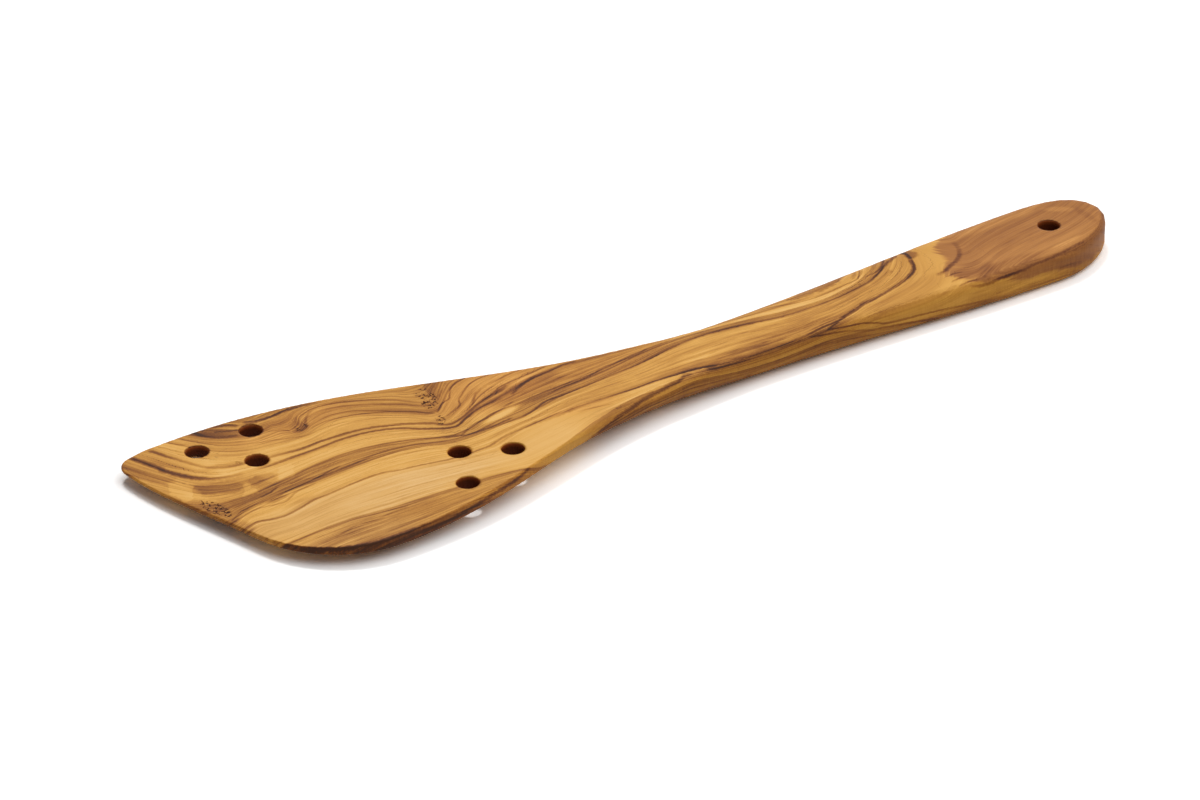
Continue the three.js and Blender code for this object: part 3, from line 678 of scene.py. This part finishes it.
# The figure of the wood, as values that the points carry
KNOT_DEPTH = 2.5
BLADE_ENDS = (80, 105)
FIGURE = {
    "grain": grain,
    "fibre": grain + (slanted - grain) * in_grip,
    "line": line_strength,
    "shade": band_change,
    "patch": ellipses(PATCHES, along, inside),
    "tint": ellipses(TINTS, along, across),
    "calm": np.clip(ellipses(CALM, along, across), 0, 1),
    "knot": np.clip(ellipses(KNOTS, along, across), 0, 1) * (depth < KNOT_DEPTH),
    "heart": np.clip(np.minimum(past_heart_edge, above_heart_edge), -8, 8),
    "side_shade_and_tone": levels(SIDE_SHADE_AND_TONES, along),
    "facet": np.where(depth < FACET_DEPTH, np.clip(past_crease, -3, 3), -3),
    "facet_shade_on_neck": stretch(along, FACET_SHADE_COMES, FACET_SHADE_GOES),
    "behind_blade": soft_step(along, *BLADE_ENDS),
    "near_hole": near_hole,
    "depth": depth,
}
for number, (_, corners) in enumerate(BLOCKS):
    FIGURE["block_%d" % number] = np.clip(within(corners, along, across), -3, 3)
GROUPS = far_apart([drawn_through(stroke[3]) for stroke in STROKES], STROKES_APART)
for number, group in enumerate(GROUPS):
    aside, change = nearest_stroke([STROKES[i] for i in group], along, inside)
    FIGURE["stroke_%d" % number] = aside
    FIGURE["change_%d" % number] = change
for name, values in FIGURE.items():
    mesh.attributes.new(name, "FLOAT", "POINT").data.foreach_set("value", values.astype(np.float32))
mesh.shade_smooth()
mesh.set_sharp_from_angle(angle=math.radians(35))


class Nodes:
    """Short ways to add nodes to one tree. Inputs are values or sockets of other nodes."""

    def __init__(self, tree):
        self.tree = tree

    def add(self, kind, inputs=None, **settings):
        node = self.tree.nodes.new(kind)
        for name, value in settings.items():
            setattr(node, name, value)
        for key, value in (inputs or {}).items():
            if isinstance(value, bpy.types.NodeSocket):
                self.tree.links.new(value, node.inputs[key])
            else:
                node.inputs[key].default_value = value
        return node

    def math(self, operation, *values):
        return self.add("ShaderNodeMath", dict(enumerate(values)), operation=operation).outputs[0]

    def sum(self, base, value, factor):
        """base + value * factor"""
        return self.math("MULTIPLY_ADD", value, factor, base)

    def product(self, first, second):
        return self.math("MULTIPLY", first, second)

    def span(self, value, low, high, start=0.0, end=1.0, kind="SMOOTHSTEP"):
        """start below low, end above high, and a step between them."""
        inputs = {0: value, 1: low, 2: high, 3: start, 4: end}
        return self.add("ShaderNodeMapRange", inputs, interpolation_type=kind).outputs[0]

    def ramp(self, factor, stops):
        """Colour ramp through (place, colour or grey) stops."""
        node = self.add("ShaderNodeValToRGB", {"Fac": factor})
        elements = node.color_ramp.elements
        while len(elements) < len(stops):
            elements.new(1.0)
        for element, (place, colour) in zip(elements, stops):
            element.position = place
            element.color = (*colour, 1) if isinstance(colour, tuple) else (colour, colour, colour, 1)
        return node.outputs["Color"]

    def mix(self, factor, first, second, blend="MIX"):
        inputs = {0: factor, 6: first, 7: second}
        return self.add("ShaderNodeMix", inputs, data_type="RGBA", blend_type=blend).outputs[2]

    def tinted(self, colour, tint):
        """colour times tint"""
        return self.mix(1.0, colour, (*tint, 1), "MULTIPLY")

    def noise(self, vector, scale, detail=2.0, roughness=0.5):
        """Noise from -0.5 to 0.5."""
        inputs = {"Vector": vector, "Scale": scale, "Detail": detail, "Roughness": roughness}
        return self.math("SUBTRACT", self.add("ShaderNodeTexNoise", inputs).outputs["Fac"], 0.5)

    def seen(self):
        """1 for what the camera sees, also in a mirror or through glass, and 0 for light on other things."""
        rays = self.add("ShaderNodeLightPath").outputs
        seen = self.math("MAXIMUM", rays["Is Camera Ray"], rays["Is Glossy Ray"])
        return self.math("MAXIMUM", seen, rays["Is Transmission Ray"])


# Changes of tone that parts of the figure make at full strength, and of the painted shade on the facet and
# the painted highlights on the pits of knots
LINE_TONE = -0.5
HEART_TONE = -0.3
PORE_TONE = -0.16
CRACK_TONE = -0.85
KNOT_TONE = -0.06
PIT_HIGHLIGHT_TONE = 0.22
FACET_PAINTED_SHADE = -0.32

# Olive wood
material = bpy.data.materials.new("olive_wood")
material.use_nodes = True
wood = Nodes(material.node_tree)
coordinates = wood.add("ShaderNodeTexCoord").outputs
to_millimetres = {0: coordinates["Object"], "Scale": 1 / MM}
place = wood.add("ShaderNodeVectorMath", to_millimetres, operation="SCALE").outputs[0]
place_parts = wood.add("ShaderNodeSeparateXYZ", {0: place}).outputs
normal_parts = wood.add("ShaderNodeSeparateXYZ", {0: coordinates["Normal"]}).outputs
figure = {name: wood.add("ShaderNodeAttribute", attribute_name=name).outputs["Fac"] for name in FIGURE}


def streaks(length, width, seed, detail=2.0):
    """Noise drawn out along the grain: streaks of about this length and width."""
    x = wood.math("DIVIDE", place_parts["X"], length)
    y = wood.math("DIVIDE", figure["fibre"], width)
    z = wood.sum(seed, place_parts["Z"], 0.02)
    return wood.noise(wood.add("ShaderNodeCombineXYZ", {0: x, 1: y, 2: z}).outputs[0], 1.0, detail)


def thin_lines(length, width, seed, thickness):
    """Thin lines where streaks cross their middle value."""
    away = wood.math("ABSOLUTE", streaks(length, width, seed, 1.5))
    return wood.span(away, 0.0, thickness, 1.0, 0.0)


# Ramps across the grain: the soft edge of a band, and the widths of each line to its far and near side
RAMP_BEGINS = -15
RAMP_ENDS = 85
EDGE_OF_BAND = 0.35
LINE_WIDTHS = [(0.7, 0.6), (0.4, 0.6), (0.35, 0.6), (0.5, 0.7), (0.7, 0.9), (0.4, 1.0), (1.0, 0.4),
               (0.6, 0.6), (0.4, 0.9), (0.6, 0.6)]


def on_ramp(value):
    """Share of the ramps' length."""
    return (value - RAMP_BEGINS) / (RAMP_ENDS - RAMP_BEGINS)


wavering = wood.sum(figure["grain"], streaks(22, 3, 1.0, 3.0), 1.5)
share = wood.span(wavering, RAMP_BEGINS, RAMP_ENDS, kind="LINEAR")
band_stops = [(0.0, BANDS[0][0])]
line_stops = []
for number, middle in enumerate(line_places):
    band_stops.append((on_ramp(middle - EDGE_OF_BAND), BANDS[number][0]))
    band_stops.append((on_ramp(middle + EDGE_OF_BAND), BANDS[number + 1][0]))
    far, near = LINE_WIDTHS[number]
    line_stops.append((on_ramp(middle - far), 0.0))
    line_stops.append((on_ramp(middle), 1.0))
    line_stops.append((on_ramp(middle + near), 0.0))
tone = wood.math("ADD", wood.ramp(share, band_stops), figure["shade"])
lines = wood.product(wood.ramp(share, line_stops), figure["line"])
lines = wood.product(lines, wood.sum(0.95, streaks(35, 2, 21.0), 1.2))

# Patches with streaky edges, and blocks across the grain, the light ones with crisper edges
LIGHT_EDGE = 0.25
DARK_EDGE = 0.8
streaky = wood.math("MAXIMUM", wood.sum(1.0, streaks(12, 0.6, 45.0), 3.0), 0.0)
tone = wood.sum(tone, wood.product(figure["patch"], streaky), 1.0)
uneven = wood.noise(place, 0.5)
for number, (change, _) in enumerate(BLOCKS):
    edge = LIGHT_EDGE if change > 0 else DARK_EDGE
    block = wood.span(wood.sum(figure["block_%d" % number], uneven, 3.0), -edge, edge)
    tone = wood.sum(tone, block, change)

# Strokes, broken by the fibres
ragged = wood.noise(place, 0.9)
drawn = 0.0
for number in range(len(GROUPS)):
    aside = wood.sum(figure["stroke_%d" % number], ragged, 0.9)
    body = wood.span(wood.math("ABSOLUTE", aside), 0.15, 1.1, 1.0, 0.0)
    drawn = wood.sum(drawn, body, figure["change_%d" % number])
drawn = wood.product(drawn, wood.sum(1.1, streaks(9, 0.5, 57.0), 1.5))

# Heart in the grip, with an edge that bleeds along the fibres
heart_edge = wood.sum(figure["heart"], streaks(9, 0.8, 41.0, 3.0), 7.0)
heart = wood.span(heart_edge, -1.2, 1.2)
tone = wood.sum(tone, heart, HEART_TONE)

# Texture from broad to fine streaks, as length, width, seed and amount, with clouds and grit
STREAKS = [(80, 5.0, 5.0, 0.35), (45, 1.5, 9.0, 0.4), (24, 0.55, 11.0, 0.42)]
fibres = streaks(8, 0.24, 13.0)
texture = wood.product(fibres, 0.38)
for length, width, seed, amount in STREAKS:
    texture = wood.sum(texture, streaks(length, width, seed), amount)
texture = wood.sum(texture, wood.noise(place, 0.09), 0.2)
texture = wood.sum(texture, wood.noise(place, 2.4, 2.0, 0.6), 0.18)

# Thin lines, wide apart or close together, and short dark pores
wide_apart = wood.span(streaks(60, 7, 35.0), -0.08, 0.14)
close_together = wood.math("SUBTRACT", 1.0, wide_apart)
texture = wood.sum(texture, wood.product(thin_lines(120, 4.2, 31.0, 0.05), wide_apart), -0.22)
texture = wood.sum(texture, wood.product(thin_lines(90, 1.9, 33.0, 0.07), close_together), -0.13)
pores = wood.span(streaks(7, 0.3, 51.0, 1.0), 0.1, 0.24)
texture = wood.sum(texture, pores, PORE_TONE)

# The texture is stronger in dark wood, and weaker in the heart and in plain wood.
strength = wood.span(tone, 0.45, 0.95, 1.35, 0.75, "LINEAR")
strength = wood.product(strength, wood.sum(1.0, heart, -0.65))
strength = wood.product(strength, wood.sum(1.0, figure["calm"], -0.9))
tone = wood.sum(tone, wood.product(texture, strength), 1.0)
tone = wood.sum(tone, lines, LINE_TONE)
tone = wood.math("ADD", tone, drawn)

# Knots with curled cracks, and pale specks that are painted highlights on their pits
curls = wood.span(wood.math("ABSOLUTE", wood.noise(place, 0.6, 1.0)), 0.0, 0.1, 1.0, 0.0)
broken = wood.span(wood.noise(place, 0.8, 2.0, 0.7), -0.04, 0.05)
cracks = wood.product(wood.product(curls, broken), wood.span(figure["knot"], 0.15, 0.5))
tone = wood.sum(tone, cracks, CRACK_TONE)
tone = wood.sum(tone, figure["knot"], KNOT_TONE)
# Painted highlights: pale specks on the pits of the knots
pit_highlights = wood.add("ShaderNodeTexVoronoi", {"Vector": place, "Scale": 0.8}).outputs["Distance"]
pit_highlights = wood.product(wood.span(pit_highlights, 0.16, 0.24, 1.0, 0.0), wood.span(figure["knot"], 0.3, 0.7))
tone = wood.sum(tone, pit_highlights, PIT_HIGHLIGHT_TONE)

# Sides, darker from painted shade and darker wood, with short fibres cut across, and the facet with painted
# shade on it
upright = wood.math("ABSOLUTE", normal_parts["Z"])
side = wood.span(upright, 0.75, 0.95, 1.0, 0.0)
drawn_out_upwards = {0: place, 1: (1.6, 1.6, 0.25)}
side_place = wood.add("ShaderNodeVectorMath", drawn_out_upwards, operation="MULTIPLY").outputs[0]
cut_fibres = wood.sum(1.0, wood.noise(side_place, 1.0, 2.0, 0.6), 1.0)
# Painted shade and darker wood on the walls, broken by the cut fibres
tone = wood.sum(tone, wood.product(side, wood.product(figure["side_shade_and_tone"], cut_fibres)), 1.0)
# Painted shade on the facet along the near edge of the neck
facet = wood.product(wood.span(wood.sum(figure["facet"], uneven, 0.3), -0.1, 0.2), figure["facet_shade_on_neck"])
tone = wood.sum(tone, wood.product(facet, wood.math("SUBTRACT", 1.0, side)), FACET_PAINTED_SHADE)

# Colours of the wood from dark to pale, and of redder, paler and greyer (partly a painted sheen) and heart
# wood, and of the painted shade on the sides, as shares of them
WOOD = [
    (0.0, (0.045, 0.013, 0.003)),
    (0.15, (0.11, 0.032, 0.007)),
    (0.3, (0.21, 0.073, 0.016)),
    (0.45, (0.34, 0.136, 0.027)),
    (0.58, (0.47, 0.209, 0.042)),
    (0.72, (0.60, 0.293, 0.063)),
    (0.86, (0.735, 0.39, 0.092)),
    (1.0, (0.81, 0.475, 0.15)),
]
REDDER = (1.03, 0.91, 1.0)
PALER_AND_SHEEN = (0.98, 1.06, 1.5)
HEART = (1.0, 0.97, 1.3)
BLADE_SIDE_SHADE = (1.0, 0.92, 0.62, 1)
HANDLE_SIDE_SHADE = (0.81, 0.75, 0.49, 1)
colour = wood.ramp(tone, WOOD)
redness = wood.span(figure["tint"], 0.0, 1.0, kind="LINEAR")
colour = wood.mix(redness, colour, wood.tinted(colour, REDDER))
# Paler, greyer wood: partly drier wood and partly a painted sheen
paleness_and_sheen = wood.span(figure["tint"], -1.0, 0.0, 1.0, 0.0, "LINEAR")
colour = wood.mix(paleness_and_sheen, colour, wood.tinted(colour, PALER_AND_SHEEN))
colour = wood.mix(heart, colour, wood.tinted(colour, HEART))
# Painted shade: the sides darker and warmer than the top, less so in the heart
side_shade_colour = wood.mix(figure["behind_blade"], BLADE_SIDE_SHADE, HANDLE_SIDE_SHADE)
side_shade_share = wood.product(side, wood.sum(1.0, heart, -0.35))
colour = wood.mix(side_shade_share, colour, wood.mix(1.0, colour, side_shade_colour, "MULTIPLY"))

# Walls of the drilled holes: red-brown wood, painted darker deeper down as shade inside the holes
HOLE_WALL_AND_SHADE = [(0.02, (0.36, 0.08, 0.012)), (0.4, (0.1, 0.018, 0.003))]
bore = wood.product(wood.span(upright, 0.3, 0.75, 1.0, 0.0), figure["near_hole"])
colour = wood.mix(bore, colour, wood.ramp(wood.math("DIVIDE", figure["depth"], 4.0), HOLE_WALL_AND_SHADE))

# Gloss and relief from the fibres, the pores and the cracks
shader = material.node_tree.nodes["Principled BSDF"]
roughness = wood.sum(0.58, fibres, 0.3)
roughness = wood.sum(roughness, cracks, 0.3)
relief = wood.product(fibres, 0.06)
relief = wood.sum(relief, pores, -0.03)
relief = wood.sum(relief, cracks, -0.3)
bump = wood.add("ShaderNodeBump", {"Strength": 0.6, "Distance": MM, "Height": relief})
shader.inputs["Specular IOR Level"].default_value = 0.16
material.node_tree.links.new(colour, shader.inputs["Base Color"])
material.node_tree.links.new(roughness, shader.inputs["Roughness"])
material.node_tree.links.new(bump.outputs[0], shader.inputs["Normal"])
mesh.materials.clear()
mesh.materials.append(material)

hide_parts("spatula")
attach(turner, "root")

# Floor, which is seen brighter than the light that it throws back on the wood
FLOOR_THROWN_BACK = 0.85
FLOOR_SEEN = 1.27
bpy.ops.mesh.primitive_plane_add(size=6)
floor = bpy.context.object
floor.name = "floor"
white = bpy.data.materials.new("white_floor")
white.use_nodes = True
white.node_tree.nodes.remove(white.node_tree.nodes["Principled BSDF"])
paper = Nodes(white.node_tree)
whiteness = paper.sum(FLOOR_THROWN_BACK, paper.seen(), FLOOR_SEEN - FLOOR_THROWN_BACK)
surface = paper.add("ShaderNodeBsdfDiffuse", {"Color": whiteness})
white.node_tree.links.new(surface.outputs[0], white.node_tree.nodes["Material Output"].inputs["Surface"])
floor.data.materials.append(white)

# Light all around, seen as white
WORLD_LEVEL = 0.18
world = bpy.data.worlds.new("studio")
bpy.context.scene.world = world
world.use_nodes = True
sky = Nodes(world.node_tree)
background = world.node_tree.nodes["Background"]
background.inputs["Color"].default_value = (1, 1, 1, 1)
world.node_tree.links.new(sky.sum(WORLD_LEVEL, sky.seen(), 1 - WORLD_LEVEL), background.inputs["Strength"])

# Directions in the view
VIEW_AZIMUTH = math.radians(-35.4)
VIEW_ELEVATION = math.radians(29.5)
BEHIND = Vector((-math.sin(VIEW_AZIMUTH), math.cos(VIEW_AZIMUTH), 0))
TO_THE_RIGHT = Vector((math.cos(VIEW_AZIMUTH), math.sin(VIEW_AZIMUTH), 0))
UP = Vector((0, 0, 1))

# Lamps: share of the light, radius of the lamp in metres, and the way to it to the right, behind and up
LAMP_AWAY = 4.0
LAMPS = {
    "key": (0.3, 0.4, (-0.14, 0.36, 1.0)),
    "fill": (0.52, 2.9, (0.49, -0.08, 1.0)),
}
for name, (level, radius, (right, back, up)) in LAMPS.items():
    towards_lamp = (TO_THE_RIGHT * right + BEHIND * back + UP * up).normalized()
    lamp_data = bpy.data.lights.new(name, "AREA")
    lamp_data.shape = "DISK"
    lamp_data.size = 2 * radius
    lamp_data.energy = level * math.pi ** 2 * (LAMP_AWAY ** 2 + radius ** 2) / towards_lamp.z
    lamp = bpy.data.objects.new(name, lamp_data)
    bpy.context.collection.objects.link(lamp)
    lamp.location = towards_lamp * LAMP_AWAY
    lamp.rotation_euler = towards_lamp.to_track_quat("Z", "Y").to_euler()

# Camera
CAMERA_AWAY = 1.6529
LOOK_AT = Vector((-21.1, -1.79, 0)) * MM
towards_camera = UP * math.sin(VIEW_ELEVATION) - BEHIND * math.cos(VIEW_ELEVATION)
camera_data = bpy.data.cameras.new("camera")
camera_data.lens = 180
camera_data.sensor_width = 36
camera_data.clip_end = 20
camera = bpy.data.objects.new("camera", camera_data)
bpy.context.collection.objects.link(camera)
camera.location = LOOK_AT + towards_camera * CAMERA_AWAY
camera.rotation_euler = towards_camera.to_track_quat("Z", "Y").to_euler()
bpy.context.scene.camera = camera
bpy.context.scene.view_settings.view_transform = "Standard"
